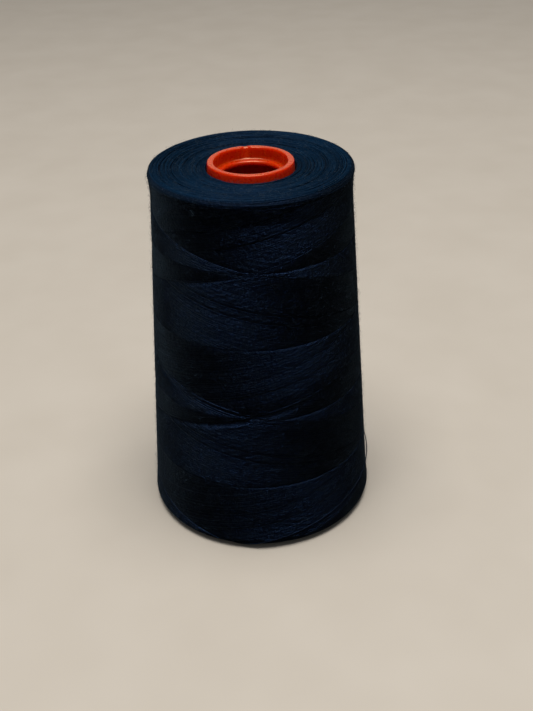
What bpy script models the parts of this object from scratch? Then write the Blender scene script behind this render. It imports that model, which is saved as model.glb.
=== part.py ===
"""Cone of sewing thread: a tapered moulded core, the thread wound on it, and the thread's loose outer end.

The cone stands on its base on the XY plane, with its axis on +Z and its front towards -Y. Units are metres.
Azimuths are measured from the front, growing towards +X.
"""

import bpy
import math
from mathutils import Vector

# ---------------------------------------------------------------- driving dimensions
TAPER = math.radians(3.5)        # half angle of the core, and of the package wound on it
ROUND_STEPS = 96                 # facets round every turned piece
PIECE_GAP = 0.0003               # clearance between pieces that touch

# The core, a moulded tube with a web near its top that centres it on a spool pin
CORE_HEIGHT = 0.1129
NOSE_RADIUS = 0.0123             # outside of the top rim
NOSE_BORE_RADIUS = 0.0105        # inside of the top rim, down to the web
SOCKET_DEPTH = 0.0035            # from the top rim to the web's upper face
WEB_THICKNESS = 0.0015
PIN_HOLE_RADIUS = 0.0085         # hole in the web
WALL_THICKNESS = 0.0016          # tapered wall below the web
RIM_ROUND = 0.0004               # edge radius of the top rim
WEB_FILLET = 0.0005              # between the top bore and the web
NOTCH_AZIMUTH = math.radians(187)          # shallow notch in the top rim, near the back
NOTCH_DEPTH = 0.0003
NOTCH_CUTTER_RADIUS = 0.0018
NOTCH_CUTTER_OVERHANG = 0.001    # how far the cutter reaches past both walls of the rim

# The package, the body of wound thread
UPPER_RIM_HEIGHT = 0.1120
LOWER_RIM_HEIGHT = 0.0013        # the package ends just above the surface that the core stands on
UPPER_RIM_RADIUS = 0.0284
SHOULDER_ROUND = 0.0015          # radius of both rims
UPPER_BULGE = 0.0009             # extra radius where the thread turns back at each end
LOWER_BULGE = 0.0003
BULGE_LENGTH = 0.004             # distance over which a bulge dies away
SIDE_STEPS = 14                  # profile points down the side

# The loose outer end of the thread
THREAD_DIAMETER = 0.0003
WRAPS_PER_STROKE = 2.5           # turns of thread from one rim to the other
END_START_AZIMUTH = math.radians(215)      # where it leaves the wound thread, at the back
END_SLACK_AZIMUTH = math.radians(92)       # where it stands furthest off the package
END_SLACK_HEIGHT = 0.0145
END_SLACK = 0.0004
END_SLACK_SPREAD = math.radians(24)
END_TUCK_TURN = math.radians(14)           # how far round the tucked tip goes
END_TUCK_DEPTH = 0.005           # how far in from the lower rim the tip lies
HELIX_POINTS = 60
BEND_POINTS = 6
TUCK_POINTS = 6

# ---------------------------------------------------------------- derived dimensions
SLOPE = math.tan(TAPER)
WEB_TOP = CORE_HEIGHT - SOCKET_DEPTH
WEB_BOTTOM = WEB_TOP - WEB_THICKNESS
PACKAGE_LENGTH = UPPER_RIM_HEIGHT - LOWER_RIM_HEIGHT
RISE_PER_RADIAN = PACKAGE_LENGTH / (WRAPS_PER_STROKE * 2 * math.pi)

PLASTIC_ORANGE = (0.62, 0.10, 0.012)
THREAD_NAVY = (0.008, 0.016, 0.035)


def core_radius(height):
    """Outside radius of the core's tapered wall."""
    return NOSE_RADIUS + (CORE_HEIGHT - height) * SLOPE


def package_radius(height):
    """Outside radius of the package's side, with its slight bulge at both rims."""
    from_top = UPPER_RIM_HEIGHT - height
    from_bottom = height - LOWER_RIM_HEIGHT
    bulge = UPPER_BULGE * math.exp(-((from_top / BULGE_LENGTH) ** 2))
    bulge += LOWER_BULGE * math.exp(-((from_bottom / BULGE_LENGTH) ** 2))
    return UPPER_RIM_RADIUS + from_top * SLOPE + bulge


def at_azimuth(azimuth, radius, height):
    return Vector((radius * math.sin(azimuth), -radius * math.cos(azimuth), height))


def arc(centre, radius, start_deg, end_deg, steps):
    """Profile points (radius, height) along an arc; 0 degrees points outwards and 90 degrees up."""
    points = []
    for i in range(steps + 1):
        angle = math.radians(start_deg + (end_deg - start_deg) * i / steps)
        points.append((centre[0] + radius * math.cos(angle), centre[1] + radius * math.sin(angle)))
    return points


# ---------------------------------------------------------------- Blender helpers
def clear_scene():
    for obj in list(bpy.data.objects):
        bpy.data.objects.remove(obj)


def new_collection(name):
    collection = bpy.data.collections.new(name)
    bpy.context.scene.collection.children.link(collection)
    return collection


def material(name, colour, roughness):
    mat = bpy.data.materials.new(name)
    mat.use_nodes = True
    shader = mat.node_tree.nodes["Principled BSDF"]
    shader.inputs["Base Color"].default_value = (*colour, 1.0)
    shader.inputs["Roughness"].default_value = roughness
    shader.inputs["Metallic"].default_value = 0.0
    mat.diffuse_color = (*colour, 1.0)
    return mat


def turned(name, profile, collection, mat):
    """A closed profile of (radius, height) points, turned about Z. It runs down its outer side."""
    mesh = bpy.data.meshes.new(name)
    count = len(profile)
    edges = [(i, (i + 1) % count) for i in range(count)]
    mesh.from_pydata([(radius, 0.0, height) for radius, height in profile], edges, [])
    obj = bpy.data.objects.new(name, mesh)
    collection.objects.link(obj)
    screw = obj.modifiers.new("turn", "SCREW")
    screw.axis = "Z"
    screw.angle = 2 * math.pi
    screw.steps = ROUND_STEPS
    screw.render_steps = ROUND_STEPS
    screw.use_merge_vertices = True
    screw.merge_threshold = 0.00001
    screw.use_smooth_shade = True
    mesh.materials.append(mat)
    return obj


# ---------------------------------------------------------------- the pieces
def make_notch_cutter(cutters):
    """A cylinder laid across the top rim, pointing at the axis."""
    middle = (NOSE_RADIUS + NOSE_BORE_RADIUS) / 2
    height = CORE_HEIGHT + NOTCH_CUTTER_RADIUS - NOTCH_DEPTH
    bpy.ops.mesh.primitive_cylinder_add(
        vertices=32,
        radius=NOTCH_CUTTER_RADIUS,
        depth=NOSE_RADIUS - NOSE_BORE_RADIUS + 2 * NOTCH_CUTTER_OVERHANG,
        location=at_azimuth(NOTCH_AZIMUTH, middle, height),
        rotation=(math.pi / 2, 0.0, NOTCH_AZIMUTH),
    )
    cutter = bpy.context.object
    cutter.name = "notch_cutter"
    for owner in list(cutter.users_collection):
        owner.objects.unlink(cutter)
    cutters.objects.link(cutter)
    cutter.hide_render = True
    cutter.display_type = "WIRE"
    return cutter


def make_core(collection, cutters, mat):
    """The core: top rim, stepped bore with its web, and a tapered wall open at the base."""
    foot = core_radius(0.0)
    lip = WEB_THICKNESS / 2
    profile = arc((NOSE_RADIUS - RIM_ROUND, CORE_HEIGHT - RIM_ROUND), RIM_ROUND, 90, 0, 3)
    profile += [
        (foot, 0.0),
        (foot - WALL_THICKNESS, 0.0),
        (core_radius(WEB_BOTTOM) - WALL_THICKNESS, WEB_BOTTOM),
    ]
    profile += arc((PIN_HOLE_RADIUS + lip, WEB_BOTTOM + lip), lip, -90, -270, 6)
    profile += arc((NOSE_BORE_RADIUS - WEB_FILLET, WEB_TOP + WEB_FILLET), WEB_FILLET, -90, 0, 3)
    profile += arc((NOSE_BORE_RADIUS + RIM_ROUND, CORE_HEIGHT - RIM_ROUND), RIM_ROUND, 180, 90, 3)
    core = turned("core", profile, collection, mat)
    notch = core.modifiers.new("notch", "BOOLEAN")
    notch.operation = "DIFFERENCE"
    notch.object = make_notch_cutter(cutters)
    return core


def make_package(collection, mat):
    """The wound thread as one turned body, its end faces square to the core's tapered wall."""
    tilt = math.degrees(TAPER)

    def end_face_at_core(rim_height):
        """Where an end face meets the core: lower than its rim, because the face is square to the taper."""
        height = rim_height - (UPPER_RIM_RADIUS - NOSE_RADIUS) * SLOPE
        return (core_radius(height) + PIECE_GAP, height)

    upper_centre_height = UPPER_RIM_HEIGHT - SHOULDER_ROUND
    lower_centre_height = LOWER_RIM_HEIGHT + SHOULDER_ROUND
    upper_centre = (package_radius(upper_centre_height) - SHOULDER_ROUND, upper_centre_height)
    lower_centre = (package_radius(lower_centre_height) - SHOULDER_ROUND, lower_centre_height)

    profile = [end_face_at_core(UPPER_RIM_HEIGHT)]
    profile += arc(upper_centre, SHOULDER_ROUND, 90 + tilt, tilt, 5)
    for i in range(1, SIDE_STEPS):
        # The points crowd towards both rims, where the bulges are.
        share = (1 - math.cos(math.pi * i / SIDE_STEPS)) / 2
        height = upper_centre_height + (lower_centre_height - upper_centre_height) * share
        profile.append((package_radius(height), height))
    profile += arc(lower_centre, SHOULDER_ROUND, tilt, -90 + tilt, 5)
    profile.append(end_face_at_core(LOWER_RIM_HEIGHT))
    return turned("thread_package", profile, collection, mat)


def thread_end_route():
    """Centreline of the loose end: down round the right-hand side to the front, then under the lower rim."""
    stand_off = PIECE_GAP + THREAD_DIAMETER / 2
    rim_centre_height = LOWER_RIM_HEIGHT + SHOULDER_ROUND
    rim_centre_radius = package_radius(rim_centre_height) - SHOULDER_ROUND
    rim_azimuth = END_SLACK_AZIMUTH - (END_SLACK_HEIGHT - rim_centre_height) / RISE_PER_RADIAN

    points = []
    for i in range(HELIX_POINTS):
        azimuth = END_START_AZIMUTH + (rim_azimuth - END_START_AZIMUTH) * i / (HELIX_POINTS - 1)
        height = END_SLACK_HEIGHT + (azimuth - END_SLACK_AZIMUTH) * RISE_PER_RADIAN
        slack = END_SLACK * math.exp(-(((azimuth - END_SLACK_AZIMUTH) / END_SLACK_SPREAD) ** 2))
        points.append(at_azimuth(azimuth, package_radius(height) + stand_off + slack, height))

    bend = SHOULDER_ROUND + stand_off
    for i in range(1, BEND_POINTS + 1):
        share = i / BEND_POINTS
        angle = share * (math.pi / 2 - TAPER)
        radius = rim_centre_radius + bend * math.cos(angle)
        height = rim_centre_height - bend * math.sin(angle)
        points.append(at_azimuth(rim_azimuth - share * END_TUCK_TURN / 2, radius, height))

    for i in range(1, TUCK_POINTS + 1):
        share = i / TUCK_POINTS
        inward = END_TUCK_DEPTH * share
        azimuth = rim_azimuth - END_TUCK_TURN * (1 + share) / 2
        points.append(at_azimuth(azimuth, radius - inward, height - inward * SLOPE))
    return points


def make_thread_end(collection, mat):
    points = thread_end_route()
    curve = bpy.data.curves.new("thread_end", "CURVE")
    curve.dimensions = "3D"
    curve.bevel_depth = THREAD_DIAMETER / 2
    curve.bevel_resolution = 2
    curve.use_fill_caps = True
    spline = curve.splines.new("POLY")
    spline.points.add(len(points) - 1)
    for spline_point, point in zip(spline.points, points):
        spline_point.co = (*point, 1.0)
    curve.materials.append(mat)
    obj = bpy.data.objects.new("thread_end", curve)
    collection.objects.link(obj)
    return obj


def main():
    clear_scene()
    parts = new_collection("thread_cone")
    cutters = new_collection("cutters")
    plastic = material("core_plastic", PLASTIC_ORANGE, 0.35)
    package_thread = material("wound_thread", THREAD_NAVY, 0.85)
    end_thread = material("loose_thread", THREAD_NAVY, 0.8)
    make_core(parts, cutters, plastic)
    make_package(parts, package_thread)
    make_thread_end(parts, end_thread)


main()
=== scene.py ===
"""Looks of the cone of sewing thread: strands wound both ways over a tapered orange core.

Lengths are metres, angles radians and powers watts. Azimuths are measured from the front (-Y) and
grow towards +X. A place on the package is an azimuth, a distance along its section (across the
lower end face, up the side and across the upper end face) and a lift above that surface.
"""

import math

import bpy
import numpy as np
from mathutils import Matrix, Vector


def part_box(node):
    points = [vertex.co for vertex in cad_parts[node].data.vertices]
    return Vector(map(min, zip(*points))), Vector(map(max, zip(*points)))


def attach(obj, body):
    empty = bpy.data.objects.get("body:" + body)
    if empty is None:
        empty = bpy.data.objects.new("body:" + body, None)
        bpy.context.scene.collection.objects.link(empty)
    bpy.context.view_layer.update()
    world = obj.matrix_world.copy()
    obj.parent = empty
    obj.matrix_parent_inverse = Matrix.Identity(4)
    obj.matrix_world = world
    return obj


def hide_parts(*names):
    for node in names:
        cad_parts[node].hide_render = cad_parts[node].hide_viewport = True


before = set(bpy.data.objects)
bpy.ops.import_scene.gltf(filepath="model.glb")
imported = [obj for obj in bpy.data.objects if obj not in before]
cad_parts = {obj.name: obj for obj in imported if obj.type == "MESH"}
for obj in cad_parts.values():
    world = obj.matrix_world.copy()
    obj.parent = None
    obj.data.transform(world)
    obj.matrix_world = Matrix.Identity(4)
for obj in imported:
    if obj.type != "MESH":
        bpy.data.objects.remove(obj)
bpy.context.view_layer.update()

# ---------------------------------------------------------------- the winding
# A strand's age is an angle: 0 is the newest strand and a whole turn the oldest. A strand's turn
# is how far round the axis it has run from the lowest crossing line. The crossing lines run level
# round the package, and each strand meets there the one of its own age that runs the other way.
WRAPS_PER_STROKE = 2.5                     # turns of thread from one rim to the other
CROSSING_AZIMUTH = math.radians(-2.5)      # where the newest strands cross
FIRST_CROSSING = 0.24                      # turn from the lower rim up to the lowest crossing line
STRAND_RADIUS = 0.00015
STRAND_PITCH = 0.95                        # from strand to strand, roughly, in strand widths
STRANDS_EACH_WAY = 148
STRAND_SIDES = 5
PIECES_EACH_WAY = 2                        # each way is split, to keep every piece light
LAYER_DROP = 0.00029                       # how far a strand drops to pass under the others
DIVE_HALF_ANGLE = 0.030                    # half of the turn over which it drops or comes up
DIVE_CLEARANCE = 0.015                     # turn by which it drops early and comes up late
DIVE_SPACING = 2.2                         # least turn from one dive to the next, in half angles
STEPS_PER_CELL = 28                        # points between crossing lines, besides six at dives
LEAST_STEPS = 2                            # least points between two dives
TURN_ANGLE = 0.36                          # azimuth over which a strand turns back at a rim
TURN_STEPS = 8
RIM_SCATTER = 0.00075                      # spread of the turning points along the section
RIM_SINK = 0.0003                          # how far a strand sinks below the upper rim's turns
RIM_SINK_ALONG = (0.0030, 0.0009)          # where that starts, below the rim, and over what length
SIDE_WOBBLE = 0.000019                     # slow sideways wander of a strand
LIFT_WOBBLE = 0.000007                     # and its wander in and out
WANDER_WAVES = (1.7, 4.3, 9.1)             # waves of a wander in one turn
WANDER_SHARE = 0.8                         # height of its waves as a share; short ones are lower

# The newest strands stray upwards near one crossing.
STRAY_AGES = (0.6, 0.10)                   # how old the rising and the falling ones are that do
STRAY_TURN = 2 * math.pi + 0.3             # turn at which they stray most
STRAY_SPREAD = 1.3                         # turn over which they do
STRAY_SHIFT = 0.0020
STRAY_LIFT = 0.0001

# Grooves are gaps between the strands of one way, each with an age and a half width.
RISING_GROOVES = ((0.0425, 0.00012), (1.17, 0.00026), (1.95, 0.00020))
FALLING_GROOVES = ((0.0425, 0.00012), (1.52, 0.00024), (1.89, 0.00026))
GROOVE_REACH = 0.07                        # age over which the strands beside it are pushed aside
OLD_GROOVE = 0.1                           # the strands just below one older than this sink
GROOVE_SINK = 0.5                          # by this share of its half width
GROOVE_SINK_REACH = 0.25                   # over this age

BODY_OVERLAP = 0.00003                     # how far the body below the strands reaches into them
BODY_SECTION_STEP = 0.0006
BODY_STEPS = 160

# ---------------------------------------------------------------- end faces and upper rim
RING_SPACING = 0.00027
RING_SCATTER = 0.00008
FACE_STRAND_RADIUS = 0.00017
FACE_ARC_LENGTHS = (0.025, 0.060)
FACE_ARC_OVERLAP = 1.9                     # arcs at any place of a ring, on average
FACE_ARC_STEPS = 26
FACE_ARC_SIDES = 5
FACE_ARC_LEAN = 0.00035                    # spread of how far an arc drifts across the rings
FACE_LIFT_SCATTER = 0.00004
FACE_ARC_DIP = 0.0004                      # how far an arc's ends dip
FACE_DIP_POWER = 8                         # how suddenly they do
LEAST_ARCS = 4
UPPER_FACE_START = 0.0006                  # below the upper rim
RIM_TURNS_SPAN = (0.0025, 0.0007)          # below the upper rim
LOWER_FACE_START = 0.0004                  # past the lower edge, up the side
FACE_END = 0.0003                          # short of a face's inner edge

# ---------------------------------------------------------------- fuzz
FUZZ_COUNT = 13000
FUZZ_PIECES = 2
FUZZ_POINTS = 5
FUZZ_SIDES = 3
FUZZ_RADIUS = 0.000015
FUZZ_TAPER = (1.2, 0.5)                    # share of that radius at the root and at the tip
FUZZ_LENGTHS = (0.0005, 0.0022)
FUZZ_BELOW_EDGE = 0.004                    # how far it reaches in from the lower edge
FUZZ_SLOPE = 0.22                          # the strands' own slope, which it mostly follows
FUZZ_HEADING = 0.5                         # spread of its heading about that slope
FUZZ_BEND = 0.9                            # spread of the angle by which it bends
FUZZ_HEIGHTS = (0.05, 0.5)                 # how far it stands off, as a share of its length
FUZZ_HUMPS = (0.5, 1.0)                    # half waves in its rise: at 1 the tip comes back down
FUZZ_ROOT_LIFT = -0.00005

# ---------------------------------------------------------------- the loose end
END_RADIUS = 0.00017
END_LIFT = 0.9                             # of its centreline, in its own radii
END_POINTS = 640
END_START_AZIMUTH = math.radians(215)
END_EMERGE_AZIMUTH = 0.08                  # over which it comes out from among the strands
END_EMERGE_DEPTH = 0.0005
END_SLACK = 0.00042                        # how far it bows off the package
END_SLACK_AZIMUTH = math.radians(92)
END_SLACK_HEIGHT = 0.0145
END_SLACK_SPREAD = math.radians(32)
END_TUCK_TURN = math.radians(14)
END_TUCK_DEPTH = 0.005
END_TUCK_POINTS = 90
END_PLIES = 2
PLY_TWIST = 0.0016                         # length of one turn of the plies
PLY_OFFSET = 0.5                           # from the centreline, as a share of the end's radius
PLY_RADIUS = 0.62                          # as a share of the end's radius
PLY_SIDES = 6

# ---------------------------------------------------------------- the core
TAPER = math.radians(3.5)
CORE_STEPS = 288
NOSE_RADIUS = 0.0123
NOSE_BORE_RADIUS = 0.0105
SOCKET_DEPTH = 0.0035
WEB_THICKNESS = 0.0015
PIN_HOLE_RADIUS = 0.0085
WALL_THICKNESS = 0.0016
NOSE_ROUND = 0.00045                       # roundings: the rim's outer edge,
BORE_ROUND = 0.0005                        # both ends of the bore,
FOOT_ROUND = 0.0003                        # both edges of the foot,
CAVITY_ROUND = 0.0008                      # and the cavity's end at the web
NOSE_STEP = 0.0012                         # from the top down to the wall's first point
WALL_SPAN = (0.003, 0.0012)                # its others: from this far below the top to this height
WALL_POINTS = 24
CAVITY_FOOT = 0.0006                       # height at which the cavity's taper starts
CAVITY_SPAN = (0.02, 0.985)                # shares of the way from there up to the web
CAVITY_POINTS = 20
BORE_MARGIN = 0.0009                       # between the bore's ends and its straight part
BORE_POINTS = 8

# A shallow notch crosses the rim, and a groove runs down the bore below it.
NOTCH_AZIMUTH = math.radians(187)
NOTCH_HALF_WIDTH = 0.0015
NOTCH_DEPTH = 0.00018
NOTCH_TOP = 0.0007                         # only points within this of the top dip
NOTCH_FADE = 0.0006                        # height over which they come to dip fully
BORE_GROOVE_DEPTH = 0.00070
BORE_GROOVE_SIDE = 0.0008                  # width over which a side of the groove deepens
BORE_BAND = 0.0006                         # points within this of the bore's radius are its wall
NOTCH_INNER = 0.0001                       # and points further inside than this don't dip
WEB_MARGIN = 0.0002                        # height above the web that the groove leaves out

# ---------------------------------------------------------------- colours and finishes
THREAD_STOPS = (0.25, 0.75)                # places of the two colours in a thread's ramp
BROAD_STOPS = (0.3, 0.7)                   # and in the plastic's and the floor's
STRAND_MOTTLING = (260.0, 0.45)            # scale and share of a strand's changes of shade
FACE_MOTTLING = (1300.0, 0.6)              # and of those on the end faces
FIBRE_SCALE = 1300.0                       # of the bumps that the fibres make
FIBRE_DEPTH = 0.00030
THREAD_GLOSS_TINT = (0.18, 0.40, 1.0)
FUZZ_GLOSS_TINT = (0.6, 0.8, 1.0)
SHEEN_ROUGHNESS = 0.35
SHEEN_TINT = (0.55, 0.80, 1.0)
NAVY = ((0.0011, 0.0012, 0.0016), (0.0023, 0.0025, 0.0033))

# Each thread has a name, a dark and a light colour, a roughness, a gloss and a sheen.
SIDE_THREADS = (
    ("navy_thread_dull", (0.0010, 0.0011, 0.0014), (0.0020, 0.0022, 0.0028), 0.31, 0.86, 0.05),
    ("navy_thread", *NAVY, 0.30, 0.93, 0.05),
    ("navy_thread_bright", (0.0012, 0.0014, 0.0018), (0.0025, 0.0028, 0.0038), 0.29, 1.0, 0.05),
)
# The end faces' thread is the sides' navy thread given a lighter, bluer colour: painted sheen,
# standing in for the blue gloss the end faces show under the lamps above.
FACE_THREADS_PAINTED_SHEEN = (
    ("face_thread_dull", (0.0002, 0.0030, 0.0080), (0.0013, 0.0098, 0.0245), 0.55, 0.15, 0.015),
    ("face_thread", (0.0004, 0.0040, 0.0104), (0.0016, 0.0122, 0.0300), 0.50, 0.20, 0.015),
)
LOOSE_THREAD = ("loose_thread", *NAVY, 0.40, 0.5, 0.05)
# The upper rim's turned thread has a blue between the sides' navy and the end faces' colour:
# painted sheen, weaker than on the faces.
RIM_THREAD_PAINTED_SHEEN = ("sheen_painted_rim_thread", (0.0007, 0.0021, 0.0045), (0.0014, 0.0040, 0.0088), 0.48, 0.28, 0.03)
# The thread below the strands is the same navy thread, darker: painted shade for the gaps between
# the strands, through which it shows.
BODY_THREAD_PAINTED_SHADE = ("thread_below_painted_shade", (0.0008, 0.0009, 0.0011), (0.0016, 0.0018, 0.0022), 0.6, 0.3, 0.04)
FUZZ_THREAD = ("thread_fuzz", (0.018, 0.030, 0.044), (0.038, 0.058, 0.078), 0.7, 0.4, 0.04)

PLASTIC_COLOURS = ((0.59, 0.029, 0.0002), (0.65, 0.036, 0.0003))
PLASTIC_FLOW_SCALE = 90.0
PLASTIC_SCUFF_SCALE = 900.0
PLASTIC_ROUGHNESS = (0.22, 0.34)
PLASTIC_BUMP_DEPTH = 0.00005
PLASTIC_BUMP_STRENGTH = 0.10
PLASTIC_GLOSS = 0.7
PLASTIC_GLOSS_TINT = (1.0, 0.9, 0.55)
PLASTIC_SPREAD = (0.0035, 0.0006, 0.0001)  # how far red, green and blue light go inside it

# ---------------------------------------------------------------- stage
FLOOR_SIZE = 6.0
FLOOR_COLOURS = ((0.66, 0.59, 0.50), (0.69, 0.62, 0.53))
FLOOR_GRAIN_SCALE = 30.0
FLOOR_ROUGHNESS = 0.6

# Each light has a name, a place, a target, a size, a power, a colour, and whether gloss shows it.
LIGHTS = (
    ("ceiling", (0.0, -0.12, 1.35), (0, 0, 0.06), (0.85, 0.7), 16.0, (1.0, 0.985, 0.96), True),
    ("window", (-1.15, 0.70, 0.42), (0, 0, 0.05), (0.8, 0.8), 47.0, (0.94, 0.98, 1.0), False),
    ("lamp", (1.15, 0.70, 0.50), (0, 0, 0.05), (0.8, 0.8), 14.0, (1.0, 0.95, 0.86), False),
    ("pale_wall", (0, 0.95, 0.50), (0, 0, 0.10), (1.6, 0.7), 2.0, (0.92, 1.0, 0.80), True),
)
ROOM_COLOUR = (0.93, 0.96, 1.0)
ROOM_STRENGTH = 0.15

CAMERA_BACK = 0.2684
CAMERA_HEIGHT = 0.2117
CAMERA_PITCH = math.radians(31.31)
CAMERA_YAW = math.radians(0.59)
CAMERA_ROLL = math.radians(-1.80)
CAMERA_LENS = 50.6                         # in millimetres
CAMERA_CLIP = (0.01, 20.0)

RNG = np.random.default_rng(20)


# ---------------------------------------------------------------- small helpers
def smooth(t):
    """A smooth step: 0 up to t = 0, and 1 from t = 1."""
    t = np.clip(t, 0.0, 1.0)
    return t * t * (3 - 2 * t)


def bell(t):
    """A bell curve of height 1 round t = 0."""
    return np.exp(-(t ** 2))


def around(azimuth, radius, height):
    """Points at these azimuths, radii and heights, as an array whose last axis is x, y, z."""
    azimuth, radius, height = np.broadcast_arrays(azimuth, radius, height)
    return np.stack([radius * np.sin(azimuth), -radius * np.cos(azimuth), height], axis=-1)


def unit(vectors):
    return vectors / np.maximum(np.linalg.norm(vectors, axis=-1, keepdims=True), 1e-12)


def resampled(rows, count):
    """Rows of different lengths as one array, each with this many values spread evenly over it."""
    share = np.linspace(0, 1, count)
    return np.stack([np.interp(share, np.linspace(0, 1, len(row)), row) for row in rows])


def mesh_object(name, vertices, loops, starts, materials, chosen=None):
    """An object from flat arrays of its vertices, its faces' vertex indices and their starts.

    chosen, if given, is the number of each face's material.
    """
    mesh = bpy.data.meshes.new(name)
    mesh.vertices.add(len(vertices))
    mesh.vertices.foreach_set("co", np.ascontiguousarray(vertices, np.float32).ravel())
    mesh.loops.add(len(loops))
    mesh.loops.foreach_set("vertex_index", np.ascontiguousarray(loops, np.int32))
    mesh.polygons.add(len(starts))
    mesh.polygons.foreach_set("loop_start", np.ascontiguousarray(starts, np.int32))
    mesh.update(calc_edges=True)
    mesh.shade_smooth()
    for material in materials:
        mesh.materials.append(material)
    if chosen is not None:
        mesh.polygons.foreach_set("material_index", np.ascontiguousarray(chosen, np.int32))
    obj = bpy.data.objects.new(name, mesh)
    bpy.context.scene.collection.objects.link(obj)
    return obj


def tubes(name, paths, outward, radii, sides, materials):
    """One object of closed tubes above the floor, each with one of the materials, drawn at random.

    paths and outward are (tubes, points, 3); radii broadcast to (tubes, points).
    """
    count, points = paths.shape[:2]
    radii = np.broadcast_to(np.asarray(radii, float), (count, points))
    along = unit(np.gradient(paths, axis=1))
    first = unit(outward - np.sum(outward * along, axis=-1, keepdims=True) * along)
    second = np.cross(along, first)
    angles = 2 * np.pi * np.arange(sides) / sides
    first, second = first[:, :, None, :], second[:, :, None, :]
    ring = np.cos(angles)[:, None] * first + np.sin(angles)[:, None] * second
    vertices = paths[:, :, None, :] + radii[:, :, None, None] * ring
    vertices[..., 2] = np.maximum(vertices[..., 2], 0.0)

    index = np.arange(count * points * sides).reshape(count, points, sides)
    here, ahead = index[:, :-1, :], index[:, 1:, :]
    quads = np.stack([here, np.roll(here, -1, axis=2), np.roll(ahead, -1, axis=2), ahead], axis=-1)
    caps = np.concatenate([index[:, 0, ::-1], index[:, -1, :]], axis=0)
    loops = np.concatenate([quads.ravel(), caps.ravel()])
    quad_count = quads.size // 4
    starts = np.concatenate([
        4 * np.arange(quad_count),
        4 * quad_count + sides * np.arange(2 * count),
    ])
    own = RNG.integers(0, len(materials), count)
    chosen = np.concatenate([np.repeat(own, (points - 1) * sides), own, own])
    return mesh_object(name, vertices.reshape(-1, 3), loops, starts, materials, chosen)


def turned(name, section, steps, material, shape=None):
    """A closed section of (radius, height) points, turned about Z. It runs down its outer side.

    shape, if given, moves the points: it takes and returns azimuths, radii and heights.
    """
    section = np.array(section, float)
    count = len(section)
    azimuth = np.repeat(2 * np.pi * np.arange(steps) / steps, count).reshape(steps, count)
    radius = np.tile(section[:, 0], (steps, 1))
    height = np.tile(section[:, 1], (steps, 1))
    if shape is not None:
        azimuth, radius, height = shape(azimuth, radius, height)
    vertices = around(azimuth, radius, height).reshape(-1, 3)
    index = np.arange(steps * count).reshape(steps, count)
    ahead = np.roll(index, -1, axis=0)
    beside, ahead_beside = np.roll(index, -1, axis=1), np.roll(ahead, -1, axis=1)
    quads = np.stack([index, beside, ahead_beside, ahead], axis=-1)
    return mesh_object(name, vertices, quads.ravel(), 4 * np.arange(quads.size // 4), [material])


def arc(centre, radius, start_deg, end_deg, steps):
    """Section points along an arc; 0 degrees points outwards and 90 degrees up."""
    angles = np.radians(np.linspace(start_deg, end_deg, steps + 1))
    return [(centre[0] + radius * math.cos(a), centre[1] + radius * math.sin(a)) for a in angles]


# ---------------------------------------------------------------- the package's surface
class Section:
    """The package's outer section, read from its CAD solid, as places at a distance along it."""

    STEP = 0.0001
    SOFTENING = 4                          # steps over which its corners are rounded
    PLANE_TOLERANCE = 1e-6                 # how near y = 0 a corner of the solid's section lies
    DIGITS = 6                             # decimals that tell two corners apart
    EDGE_BAND = 0.004                      # width of the band outside in which the lower edge lies
    RIM_BAND = 0.002                       # length below the upper rim that isn't the plain side

    def __init__(self, node):
        corners = self.outline(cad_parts[node].data)
        lengths = np.linalg.norm(np.diff(corners, axis=0), axis=1)
        reached = np.concatenate([[0.0], np.cumsum(lengths)])
        self.along = np.arange(0.0, reached[-1], self.STEP)
        self.radius = self.softened(np.interp(self.along, reached, corners[:, 0]))
        self.height = self.softened(np.interp(self.along, reached, corners[:, 1]))
        dr, dz = np.gradient(self.radius), np.gradient(self.height)
        size = np.hypot(dr, dz)
        self.normal_radius, self.normal_height = dz / size, -dr / size
        self.length = self.along[-1]
        self.lower_rim = self.along[np.argmax(self.radius)]
        upper_half = self.along > self.length / 2
        self.upper_rim = self.along[upper_half][np.argmax(self.height[upper_half])]
        outer = ~upper_half & (self.radius > self.radius.max() - self.EDGE_BAND)
        self.lower_edge = self.along[outer][np.argmin(self.height[outer])]

    @classmethod
    def outline(cls, mesh):
        """The corners of the solid's section at +X, from the lower inner one round to the upper."""
        joined = {}
        for edge in mesh.edges:
            ends = [mesh.vertices[i].co for i in edge.vertices]
            if all(abs(end.y) < cls.PLANE_TOLERANCE and end.x > 0 for end in ends):
                first, second = [
                    (round(end.x, cls.DIGITS), round(end.z, cls.DIGITS)) for end in ends
                ]
                if first != second:
                    joined.setdefault(first, set()).add(second)
                    joined.setdefault(second, set()).add(first)
        here = min(joined, key=lambda corner: corner[0] + corner[1])
        walk = [here]
        here = min(joined[here], key=lambda corner: corner[1])
        last = min(joined, key=lambda corner: corner[0] - corner[1])
        while here != last:
            walk.append(here)
            here = next(corner for corner in joined[here] if corner not in walk[-2:])
        return np.array([*walk, last])

    @classmethod
    def softened(cls, values):
        """The values with their corners rounded over a few steps."""
        kernel = np.hanning(2 * cls.SOFTENING + 3)[1:-1]
        padded = np.pad(values, cls.SOFTENING, mode="reflect", reflect_type="odd")
        return np.convolve(padded, kernel / kernel.sum(), mode="valid")

    def at(self, azimuth, along, lift=0.0):
        radius = np.interp(along, self.along, self.radius)
        height = np.interp(along, self.along, self.height)
        out_radius = np.interp(along, self.along, self.normal_radius)
        out_height = np.interp(along, self.along, self.normal_height)
        return around(azimuth, radius + lift * out_radius, height + lift * out_height)

    def at_height(self, height):
        """Distance along the section to this height on the side."""
        side = (self.along > self.lower_rim) & (self.along < self.upper_rim - self.RIM_BAND)
        return np.interp(height, self.height[side], self.along[side])

    def outward(self, azimuth, along):
        out_radius = np.interp(along, self.along, self.normal_radius)
        out_height = np.interp(along, self.along, self.normal_height)
        return around(azimuth, out_radius, out_height)


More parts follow.
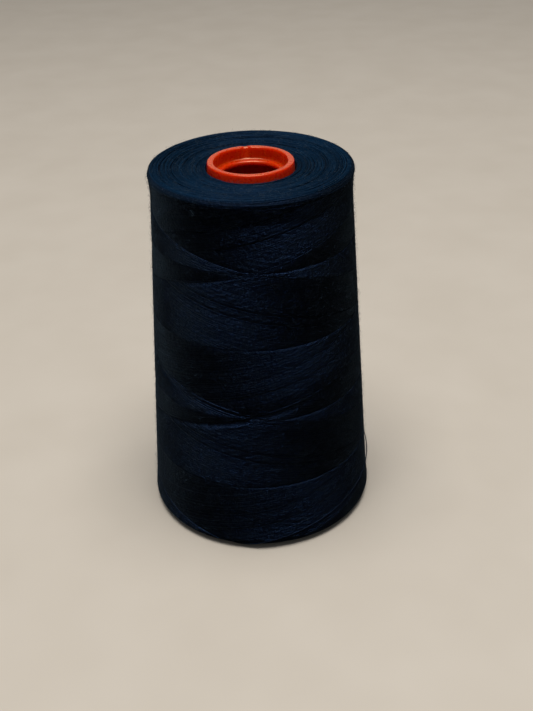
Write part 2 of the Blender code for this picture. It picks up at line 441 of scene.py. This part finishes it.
# ---------------------------------------------------------------- materials
class Nodes:
    """A new material's node tree, with short ways to add and link nodes."""

    def __init__(self, name):
        self.material = bpy.data.materials.new(name)
        self.material.use_nodes = True
        self.tree = self.material.node_tree
        self.shader = self.tree.nodes["Principled BSDF"]

    def add(self, kind, **settings):
        node = self.tree.nodes.new(kind)
        for key, value in settings.items():
            setattr(node, key, value)
        return node

    def link(self, source, target):
        self.tree.links.new(source, target)

    def noise(self, vector, scale, detail):
        node = self.add("ShaderNodeTexNoise")
        node.inputs["Scale"].default_value = scale
        node.inputs["Detail"].default_value = detail
        self.link(vector, node.inputs["Vector"])
        return node.outputs["Fac"]

    def ramp(self, factor, stops, colours):
        """A ramp between two colours, which are at these two stops."""
        node = self.add("ShaderNodeValToRGB")
        for element, position, colour in zip(node.color_ramp.elements, stops, colours):
            element.position = position
            element.color = (*colour, 1.0)
        self.link(factor, node.inputs["Fac"])
        return node.outputs["Color"]

    def mapped(self, factor, low, high):
        """A factor from 0 to 1 mapped to low and high."""
        node = self.add("ShaderNodeMapRange")
        node.inputs["To Min"].default_value = low
        node.inputs["To Max"].default_value = high
        self.link(factor, node.inputs["Value"])
        return node.outputs["Result"]

    def mixed(self, first, second, share):
        """Two factors mixed, share of the second."""
        node = self.add("ShaderNodeMix", data_type="FLOAT")
        node.inputs["Factor"].default_value = share
        self.link(first, node.inputs["A"])
        self.link(second, node.inputs["B"])
        return node.outputs["Result"]

    def position(self):
        return self.add("ShaderNodeTexCoord").outputs["Object"]

    def bump(self, height, depth, strength):
        node = self.add("ShaderNodeBump")
        node.inputs["Strength"].default_value = strength
        node.inputs["Distance"].default_value = depth
        self.link(height, node.inputs["Height"])
        self.link(node.outputs["Normal"], self.shader.inputs["Normal"])


def thread_material(look, tint=THREAD_GLOSS_TINT, mottling=STRAND_MOTTLING):
    """Thread with a tinted gloss: each strand differs a little, and changes shade along itself."""
    name, dark, light, roughness, gloss, sheen = look
    nodes = Nodes(name)
    strand = nodes.add("ShaderNodeNewGeometry").outputs["Random Per Island"]
    scale, share = mottling
    patches = nodes.noise(nodes.position(), scale, detail=4.0)
    shade = nodes.mixed(strand, patches, share)
    colour = nodes.ramp(shade, THREAD_STOPS, (dark, light))
    nodes.link(colour, nodes.shader.inputs["Base Color"])
    fibres = nodes.noise(nodes.position(), FIBRE_SCALE, detail=3.0)
    nodes.bump(fibres, FIBRE_DEPTH, strength=1.0)
    nodes.shader.inputs["Roughness"].default_value = roughness
    nodes.shader.inputs["Specular IOR Level"].default_value = gloss
    nodes.shader.inputs["Specular Tint"].default_value = (*tint, 1.0)
    nodes.shader.inputs["Sheen Weight"].default_value = sheen
    nodes.shader.inputs["Sheen Roughness"].default_value = SHEEN_ROUGHNESS
    nodes.shader.inputs["Sheen Tint"].default_value = (*SHEEN_TINT, 1.0)
    return nodes.material


def plastic_material():
    """Orange moulded plastic: satin, with faint flow marks and fine scuffs."""
    nodes = Nodes("core_plastic")
    place = nodes.position()
    flow = nodes.noise(place, PLASTIC_FLOW_SCALE, detail=4.0)
    colour = nodes.ramp(flow, BROAD_STOPS, PLASTIC_COLOURS)
    nodes.link(colour, nodes.shader.inputs["Base Color"])
    scuffs = nodes.noise(place, PLASTIC_SCUFF_SCALE, detail=5.0)
    nodes.link(nodes.mapped(scuffs, *PLASTIC_ROUGHNESS), nodes.shader.inputs["Roughness"])
    marks = nodes.mixed(flow, scuffs, 0.5)
    nodes.bump(marks, PLASTIC_BUMP_DEPTH, PLASTIC_BUMP_STRENGTH)
    nodes.shader.inputs["Specular IOR Level"].default_value = PLASTIC_GLOSS
    nodes.shader.inputs["Specular Tint"].default_value = (*PLASTIC_GLOSS_TINT, 1.0)
    nodes.shader.inputs["Subsurface Weight"].default_value = 1.0
    nodes.shader.inputs["Subsurface Radius"].default_value = PLASTIC_SPREAD
    nodes.shader.inputs["Subsurface Scale"].default_value = 1.0
    return nodes.material


# ---------------------------------------------------------------- the wound thread
def spread_ages(count, grooves):
    """Ages of the strands, evenly round the package and pushed aside from each groove."""
    ages = 2 * np.pi * (np.arange(count) + 0.5) / count
    per_metre = 2 * np.pi / (count * 2 * STRAND_RADIUS * STRAND_PITCH)
    shifted = ages.copy()
    for age, half_width in grooves:
        gap = ages - age
        shifted += np.sign(gap) * half_width * per_metre * np.exp(-np.abs(gap) / GROOVE_REACH)
    return shifted


def groove_sink(ages, rising, grooves):
    """How far each strand sinks, so that those below an old groove don't shine at its edge."""
    sink = np.zeros_like(ages)
    for age, half_width in grooves:
        below = age - ages if rising else ages - age
        if age > OLD_GROOVE:
            depth = GROOVE_SINK * half_width * np.exp(-below / GROOVE_SINK_REACH)
            sink += np.where(below > 0, depth, 0.0)
    return sink


def cell_turns(age, rising):
    """The turns of a strand's points, and whether each is on top (1) or under (0).

    The crossing lines are half a turn apart. A rising strand passes under at each line and comes
    up after half its age. A falling one comes up at each line and passes under half its age
    before the next one.
    """
    dive = DIVE_HALF_ANGLE
    first = -DIVE_CLEARANCE if rising else DIVE_CLEARANCE
    event = age / 2 + DIVE_CLEARANCE if rising else math.pi - age / 2 - DIVE_CLEARANCE
    event = min(max(event, first + DIVE_SPACING * dive), first + math.pi - DIVE_SPACING * dive)
    before = max(LEAST_STEPS, round(STEPS_PER_CELL * event / math.pi))
    before = min(before, STEPS_PER_CELL - LEAST_STEPS)
    after = STEPS_PER_CELL - before
    offsets = np.concatenate([
        [first, first + dive],
        np.linspace(first + dive, event - dive, before + 2)[1:-1],
        [event - dive, event, event + dive],
        np.linspace(event + dive, first + math.pi - dive, after + 2)[1:-1],
        [first + math.pi - dive],
    ])
    early, late = (0.0, 1.0) if rising else (1.0, 0.0)
    tops = np.concatenate([[0.5], np.full(before + 2, early), [0.5], np.full(after + 2, late)])
    lines = range(-1, math.ceil(2 * WRAPS_PER_STROKE))
    return np.concatenate([offsets + line * math.pi for line in lines]), np.tile(tops, len(lines))


def strand_paths(section, rising, ages, grooves):
    """Centrelines and outward directions of the strands of one way, from lower to upper rim."""
    count = len(ages)
    full = WRAPS_PER_STROKE * 2 * np.pi
    rise = (section.upper_rim - section.lower_edge) / full
    low, high = -FIRST_CROSSING, full - FIRST_CROSSING
    turns, tops = [], []
    for age in ages:
        middle, on_top = cell_turns(age % (2 * np.pi), rising)
        inside = (middle > low + TURN_ANGLE / 2) & (middle < high - TURN_ANGLE / 2)
        turns.append(middle[inside])
        tops.append(on_top[inside])
    # The strands have different numbers of points, and all are brought down to the least of them.
    shortest = min(len(t) for t in turns)
    turns, tops = resampled(turns, shortest), resampled(tops, shortest)

    zone = np.linspace(0.0, TURN_ANGLE, TURN_STEPS + 1)
    lower = np.tile(low - TURN_ANGLE / 2 + zone[:-1], (count, 1))
    upper = np.tile(high - TURN_ANGLE / 2 + zone[1:], (count, 1))
    turns = np.concatenate([lower, turns, upper], axis=1)
    tops = np.pad(tops, ((0, 0), (TURN_STEPS, TURN_STEPS)), mode="edge")
    from_low = turns - low + TURN_ANGLE / 2
    to_top = high + TURN_ANGLE / 2 - turns

    # The climb along the section is steady, and eases to a stop at both rims.
    steady = rise * (turns - low)
    eased_low = rise * np.clip(from_low, 0, None) ** 2 / (2 * TURN_ANGLE)
    eased_top = rise * (full - np.clip(to_top, 0, None) ** 2 / (2 * TURN_ANGLE))
    climb = np.where(to_top < TURN_ANGLE, eased_top, steady)
    climb = np.where(from_low < TURN_ANGLE, eased_low, climb)

    start = CROSSING_AZIMUTH - ages[:, None]
    azimuth = start + turns if rising else start - turns
    along = section.lower_edge + climb
    near_low = smooth(1 - from_low / (2 * TURN_ANGLE))
    near_top = smooth(1 - to_top / (2 * TURN_ANGLE))
    low_scatter = RNG.normal(0, RIM_SCATTER, (count, 1))
    top_scatter = RNG.normal(0, RIM_SCATTER, (count, 1))
    along += low_scatter * near_low + top_scatter * near_top
    along += wander(azimuth, count, SIDE_WOBBLE)
    lift = -STRAND_RADIUS - LAYER_DROP * (1 - tops) + wander(azimuth, count, LIFT_WOBBLE)
    stray = bell((ages % (2 * np.pi)) / STRAY_AGES[0 if rising else 1])[:, None]
    stray = stray * bell((turns - STRAY_TURN) / STRAY_SPREAD)
    along += STRAY_SHIFT * stray
    lift += STRAY_LIFT * stray
    lift -= groove_sink(ages, rising, grooves)[:, None]
    sink_start, sink_length = RIM_SINK_ALONG
    lift -= RIM_SINK * smooth((along - (section.upper_rim - sink_start)) / sink_length)
    return section.at(azimuth, along, lift), section.outward(azimuth, along)


def wander(azimuth, count, size):
    """A slow, smooth wander along each strand, and a constant offset of its own."""
    total = RNG.normal(0, size, (count, 1)) * np.ones_like(azimuth)
    for waves in WANDER_WAVES:
        phase = RNG.uniform(0, 2 * np.pi, (count, 1))
        total += size * WANDER_SHARE * np.sin(waves * azimuth + phase) / math.sqrt(waves)
    return total


def make_wound_thread(section, materials):
    """The outermost strands of both ways, in pieces."""
    pieces = []
    for rising, grooves, label in (
        (True, RISING_GROOVES, "rising"),
        (False, FALLING_GROOVES, "falling"),
    ):
        ages = spread_ages(STRANDS_EACH_WAY, grooves)
        paths, outward = strand_paths(section, rising, ages, grooves)
        shares = np.array_split(np.arange(STRANDS_EACH_WAY), PIECES_EACH_WAY)
        for part, chosen in enumerate(shares):
            pieces.append(tubes(
                f"strands_{label}_{part + 1}",
                paths[chosen], outward[chosen], STRAND_RADIUS, STRAND_SIDES, materials,
            ))
    return pieces


def make_end_face(section, name, start, end, materials):
    """Turned-back threads from one place along the section to another.

    They are short arcs round the axis, whose ends dip out of sight.
    """
    paths, outward = [], []
    step = RING_SPACING if end > start else -RING_SPACING
    share = np.linspace(0, 1, FACE_ARC_STEPS + 1)
    mean = sum(FACE_ARC_LENGTHS) / 2
    for ring in np.arange(start, end, step):
        radius = float(np.interp(ring, section.along, section.radius))
        arcs = max(LEAST_ARCS, round(2 * math.pi * radius * FACE_ARC_OVERLAP / mean))
        for _ in range(arcs):
            span = RNG.uniform(*FACE_ARC_LENGTHS) / radius
            azimuth = RNG.uniform(0, 2 * math.pi) + span * share
            lean = RNG.normal(0, FACE_ARC_LEAN)
            along = ring + RNG.normal(0, RING_SCATTER) + lean * (share - 0.5)
            dip = FACE_ARC_DIP * (2 * share - 1) ** FACE_DIP_POWER
            lift = -FACE_STRAND_RADIUS + RNG.normal(0, FACE_LIFT_SCATTER) - dip
            paths.append(section.at(azimuth, along, lift))
            outward.append(section.outward(azimuth, along))
    paths, outward = np.stack(paths), np.stack(outward)
    return tubes(name, paths, outward, FACE_STRAND_RADIUS, FACE_ARC_SIDES, materials)


def make_under_body(section, material):
    """The thread below the visible strands, as one turned body just inside them."""
    inset = 2 * STRAND_RADIUS + LAYER_DROP - BODY_OVERLAP
    places = np.arange(0.0, section.length, BODY_SECTION_STEP)
    places = np.concatenate([places, [section.length]])[::-1]
    points = section.at(np.zeros_like(places), places, -inset)
    outer = [(-y, z) for _, y, z in points]
    return turned("wound_body", outer, BODY_STEPS, material)


def make_fuzz(section, materials):
    """Fine fibre ends that stand off the thread, mostly along it, in pieces."""
    count = FUZZ_COUNT
    azimuth = RNG.uniform(0, 2 * np.pi, count)
    along = RNG.uniform(section.lower_edge - FUZZ_BELOW_EDGE, section.length, count)
    length = RNG.uniform(*FUZZ_LENGTHS, count)
    heading = RNG.normal(0, FUZZ_HEADING, count)
    heading = heading + np.where(RNG.random(count) < 0.5, FUZZ_SLOPE, -FUZZ_SLOPE)
    flip = np.where(RNG.random(count) < 0.5, 1.0, -1.0)
    share = np.linspace(0, 1, FUZZ_POINTS)
    radius = np.interp(along, section.along, section.radius)
    bend = RNG.normal(0, FUZZ_BEND, count)
    height = length * RNG.uniform(*FUZZ_HEIGHTS, count)
    turn = heading[:, None] + bend[:, None] * share
    run = length[:, None] * share * flip[:, None]
    azimuths = azimuth[:, None] + run * np.cos(turn) / radius[:, None]
    alongs = along[:, None] + run * np.sin(turn)
    hump = RNG.uniform(*FUZZ_HUMPS, count)[:, None]
    lift = FUZZ_ROOT_LIFT + height[:, None] * np.sin(np.pi * share * hump)
    paths = section.at(azimuths, alongs, lift)
    outward = section.outward(azimuths, alongs)
    radii = FUZZ_RADIUS * np.linspace(*FUZZ_TAPER, FUZZ_POINTS)
    return [
        tubes(f"fuzz_{part + 1}", paths[chosen], outward[chosen], radii, FUZZ_SIDES, materials)
        for part, chosen in enumerate(np.array_split(np.arange(count), FUZZ_PIECES))
    ]


def make_thread_end(section, material):
    """The loose end, which runs down from the back past the right to the front.

    It stands proud of the package on the right and is tucked under the lower rim at the front.
    """
    rise = (section.upper_rim - section.lower_edge) / (WRAPS_PER_STROKE * 2 * np.pi)
    slack_along = section.at_height(END_SLACK_HEIGHT)
    rim_azimuth = END_SLACK_AZIMUTH - (slack_along - section.lower_edge) / rise
    azimuth = np.linspace(END_START_AZIMUTH, rim_azimuth, END_POINTS)
    along = section.lower_edge + rise * (azimuth - rim_azimuth)
    slack = END_SLACK * bell((azimuth - END_SLACK_AZIMUTH) / END_SLACK_SPREAD)
    emerge = smooth((END_START_AZIMUTH - azimuth) / END_EMERGE_AZIMUTH)
    lift = END_RADIUS * END_LIFT + slack - END_EMERGE_DEPTH * (1 - emerge)
    tuck = np.linspace(0, 1, END_TUCK_POINTS)[1:]
    azimuth = np.concatenate([azimuth, rim_azimuth - END_TUCK_TURN * tuck])
    along = np.concatenate([along, section.lower_edge - END_TUCK_DEPTH * tuck])
    lift = np.concatenate([lift, np.full(len(tuck), lift[-1])])
    centre = section.at(azimuth, along, lift)
    out = section.outward(azimuth, along)
    across = np.cross(unit(np.gradient(centre, axis=0)), out)
    lengths = np.linalg.norm(np.diff(centre, axis=0), axis=1)
    travelled = np.concatenate([[0], np.cumsum(lengths)])
    plies = []
    for ply in range(END_PLIES):
        twist = 2 * np.pi * travelled / PLY_TWIST + 2 * math.pi / END_PLIES * ply
        aside = np.cos(twist)[:, None] * out + np.sin(twist)[:, None] * across
        plies.append(centre + PLY_OFFSET * END_RADIUS * aside)
    paths, outward = np.stack(plies), np.stack([out] * END_PLIES)
    return tubes("loose_end", paths, outward, END_RADIUS * PLY_RADIUS, PLY_SIDES, [material])


# ---------------------------------------------------------------- the core
def make_core(material):
    """The core: from the rim down the wall, round the foot, up the cavity and out at the bore."""
    low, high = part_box("core")
    top = high.z
    slope = math.tan(TAPER)

    def wall(height):
        return NOSE_RADIUS + (top - height) * slope

    web_top = top - SOCKET_DEPTH
    web_bottom = web_top - WEB_THICKNESS
    foot = wall(low.z)
    inner_foot = foot - WALL_THICKNESS
    foot_height = low.z + FOOT_ROUND
    lip = WEB_THICKNESS / 2
    wall_start, wall_end = WALL_SPAN
    heights = [top - NOSE_STEP, *np.linspace(top - wall_start, wall_end, WALL_POINTS)]
    cavity_foot = np.array((inner_foot, CAVITY_FOOT))
    cavity_top = np.array((wall(web_bottom) - WALL_THICKNESS, web_bottom))
    cavity_shares = np.linspace(*CAVITY_SPAN, CAVITY_POINTS)
    bore_heights = np.linspace(web_top + BORE_MARGIN, top - BORE_MARGIN, BORE_POINTS)
    cavity_corner = (cavity_top[0] - CAVITY_ROUND, web_bottom - CAVITY_ROUND)
    section = [
        *arc((NOSE_RADIUS - NOSE_ROUND, top - NOSE_ROUND), NOSE_ROUND, 90, 0, 7),
        *[(wall(height), height) for height in heights],
        *arc((foot - FOOT_ROUND, foot_height), FOOT_ROUND, 0, -90, 4),
        *arc((inner_foot + FOOT_ROUND, foot_height), FOOT_ROUND, -90, -180, 4),
        *[tuple(cavity_foot + (cavity_top - cavity_foot) * share) for share in cavity_shares],
        *arc(cavity_corner, CAVITY_ROUND, 0, 90, 5),
        *arc((PIN_HOLE_RADIUS + lip, web_bottom + lip), lip, -90, -270, 14),
        *arc((NOSE_BORE_RADIUS - BORE_ROUND, web_top + BORE_ROUND), BORE_ROUND, -90, 0, 6),
        *[(NOSE_BORE_RADIUS, height) for height in bore_heights],
        *arc((NOSE_BORE_RADIUS + BORE_ROUND, top - BORE_ROUND), BORE_ROUND, 180, 90, 7),
    ]

    def notched(azimuth, radius, height):
        """Adds the notch across the rim, and the groove below it, which runs out at the web."""
        apart = np.abs((azimuth - NOTCH_AZIMUTH + np.pi) % (2 * np.pi) - np.pi)
        across = apart * NOSE_BORE_RADIUS
        dip = smooth(1 - across / NOTCH_HALF_WIDTH)
        rim = smooth((height - (top - NOTCH_TOP)) / NOTCH_FADE)
        rim = rim * (radius > NOSE_BORE_RADIUS - NOTCH_INNER)
        bore = np.abs(radius - NOSE_BORE_RADIUS) < BORE_BAND
        bore = bore & (height > web_top + WEB_MARGIN)
        inside = smooth((NOTCH_HALF_WIDTH - across) / BORE_GROOVE_SIDE)
        climb = np.clip((height - web_top) / SOCKET_DEPTH, 0, 1)
        radius = radius + BORE_GROOVE_DEPTH * inside * bore * climb
        height = height - NOTCH_DEPTH * dip * rim
        return azimuth, radius, height

    return turned("moulded_core", section, CORE_STEPS, material, notched)


# ---------------------------------------------------------------- stage
def make_floor():
    bpy.ops.mesh.primitive_plane_add(size=FLOOR_SIZE, location=(0, 0, 0))
    floor = bpy.context.object
    floor.name = "floor"
    nodes = Nodes("floor")
    grain = nodes.noise(nodes.position(), FLOOR_GRAIN_SCALE, detail=2.0)
    colour = nodes.ramp(grain, BROAD_STOPS, FLOOR_COLOURS)
    nodes.link(colour, nodes.shader.inputs["Base Color"])
    nodes.shader.inputs["Roughness"].default_value = FLOOR_ROUGHNESS
    floor.data.materials.append(nodes.material)
    floor.visible_glossy = False
    return floor


def area_light(name, place, target, size, power, colour, in_reflections):
    light = bpy.data.lights.new(name, "AREA")
    light.shape = "RECTANGLE"
    light.size, light.size_y = size
    light.energy = power
    light.color = colour
    obj = bpy.data.objects.new(name, light)
    obj.location = place
    aim = Vector(target) - Vector(place)
    obj.rotation_euler = aim.to_track_quat("-Z", "Y").to_euler()
    obj.visible_glossy = in_reflections
    bpy.context.scene.collection.objects.link(obj)
    return obj


def collected(name, pieces):
    """A collection of these pieces, for a light that falls only on them."""
    collection = bpy.data.collections.new(name)
    for piece in pieces:
        collection.objects.link(piece)
    return collection


def make_lights(core, thread):
    lights = {settings[0]: area_light(*settings) for settings in LIGHTS}
    plastic_only = collected("plastic_only", [core])
    thread_only = collected("thread_only", thread)
    lights["pale_wall"].light_linking.receiver_collection = plastic_only
    lights["window"].light_linking.receiver_collection = thread_only
    lights["lamp"].light_linking.receiver_collection = thread_only
    world = bpy.data.worlds.new("soft_room")
    world.use_nodes = True
    background = world.node_tree.nodes["Background"]
    background.inputs["Color"].default_value = (*ROOM_COLOUR, 1.0)
    background.inputs["Strength"].default_value = ROOM_STRENGTH
    bpy.context.scene.world = world
    world.cycles_visibility.glossy = False


def make_camera():
    data = bpy.data.cameras.new("camera")
    data.lens = CAMERA_LENS
    data.clip_start, data.clip_end = CAMERA_CLIP
    camera = bpy.data.objects.new("camera", data)
    yaw, pitch = CAMERA_YAW, CAMERA_PITCH
    ahead = Vector((
        math.sin(yaw) * math.cos(pitch),
        math.cos(yaw) * math.cos(pitch),
        -math.sin(pitch),
    ))
    level = Vector((math.cos(yaw), -math.sin(yaw), 0.0))
    upright = level.cross(ahead)
    right = level * math.cos(CAMERA_ROLL) + upright * math.sin(CAMERA_ROLL)
    up = right.cross(ahead)
    rotation = Matrix((right, up, -ahead)).transposed().to_4x4()
    place = Matrix.Translation((0.0, -CAMERA_BACK, CAMERA_HEIGHT))
    camera.matrix_world = place @ rotation
    bpy.context.scene.collection.objects.link(camera)
    bpy.context.scene.camera = camera


def main():
    section = Section("thread_package")
    side_threads = [thread_material(look) for look in SIDE_THREADS]
    # the end faces' thread, with painted sheen in its colour
    sheen_painted_face_threads = [thread_material(look, mottling=FACE_MOTTLING) for look in FACE_THREADS_PAINTED_SHEEN]
    loose_thread = thread_material(LOOSE_THREAD)
    # the rim's thread, with weaker painted sheen in its colour
    sheen_painted_rim_thread = thread_material(RIM_THREAD_PAINTED_SHEEN)
    # darker than the strands: painted shade
    shade_painted_body_thread = thread_material(BODY_THREAD_PAINTED_SHADE)
    fuzz_thread = thread_material(FUZZ_THREAD, FUZZ_GLOSS_TINT)

    rim = section.upper_rim
    rim_start, rim_end = [rim - below for below in RIM_TURNS_SPAN]
    face_start, face_end = rim - UPPER_FACE_START, section.length - FACE_END
    lower_start = section.lower_edge + LOWER_FACE_START
    body = make_under_body(section, shade_painted_body_thread)
    upper_face = make_end_face(section, "upper_face_turns", face_start, face_end, sheen_painted_face_threads)
    upper_rim = make_end_face(section, "upper_rim_turns", rim_start, rim_end, [sheen_painted_rim_thread])
    lower_face = make_end_face(section, "lower_face_turns", lower_start, FACE_END, sheen_painted_face_threads)
    strands = make_wound_thread(section, side_threads)
    fuzz = make_fuzz(section, [fuzz_thread])
    package = [body, upper_face, upper_rim, lower_face, *strands, *fuzz]
    for piece in package:
        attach(piece, "root")
        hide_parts("thread_package")
    loose_end = make_thread_end(section, loose_thread)
    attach(loose_end, "root")
    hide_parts("thread_end")
    core = make_core(plastic_material())
    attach(core, "root")
    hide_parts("core")

    make_floor()
    make_lights(core, [*package, loose_end])
    make_camera()
    bpy.context.scene.view_settings.view_transform = "Standard"


main()
bpy.context.view_layer.update()
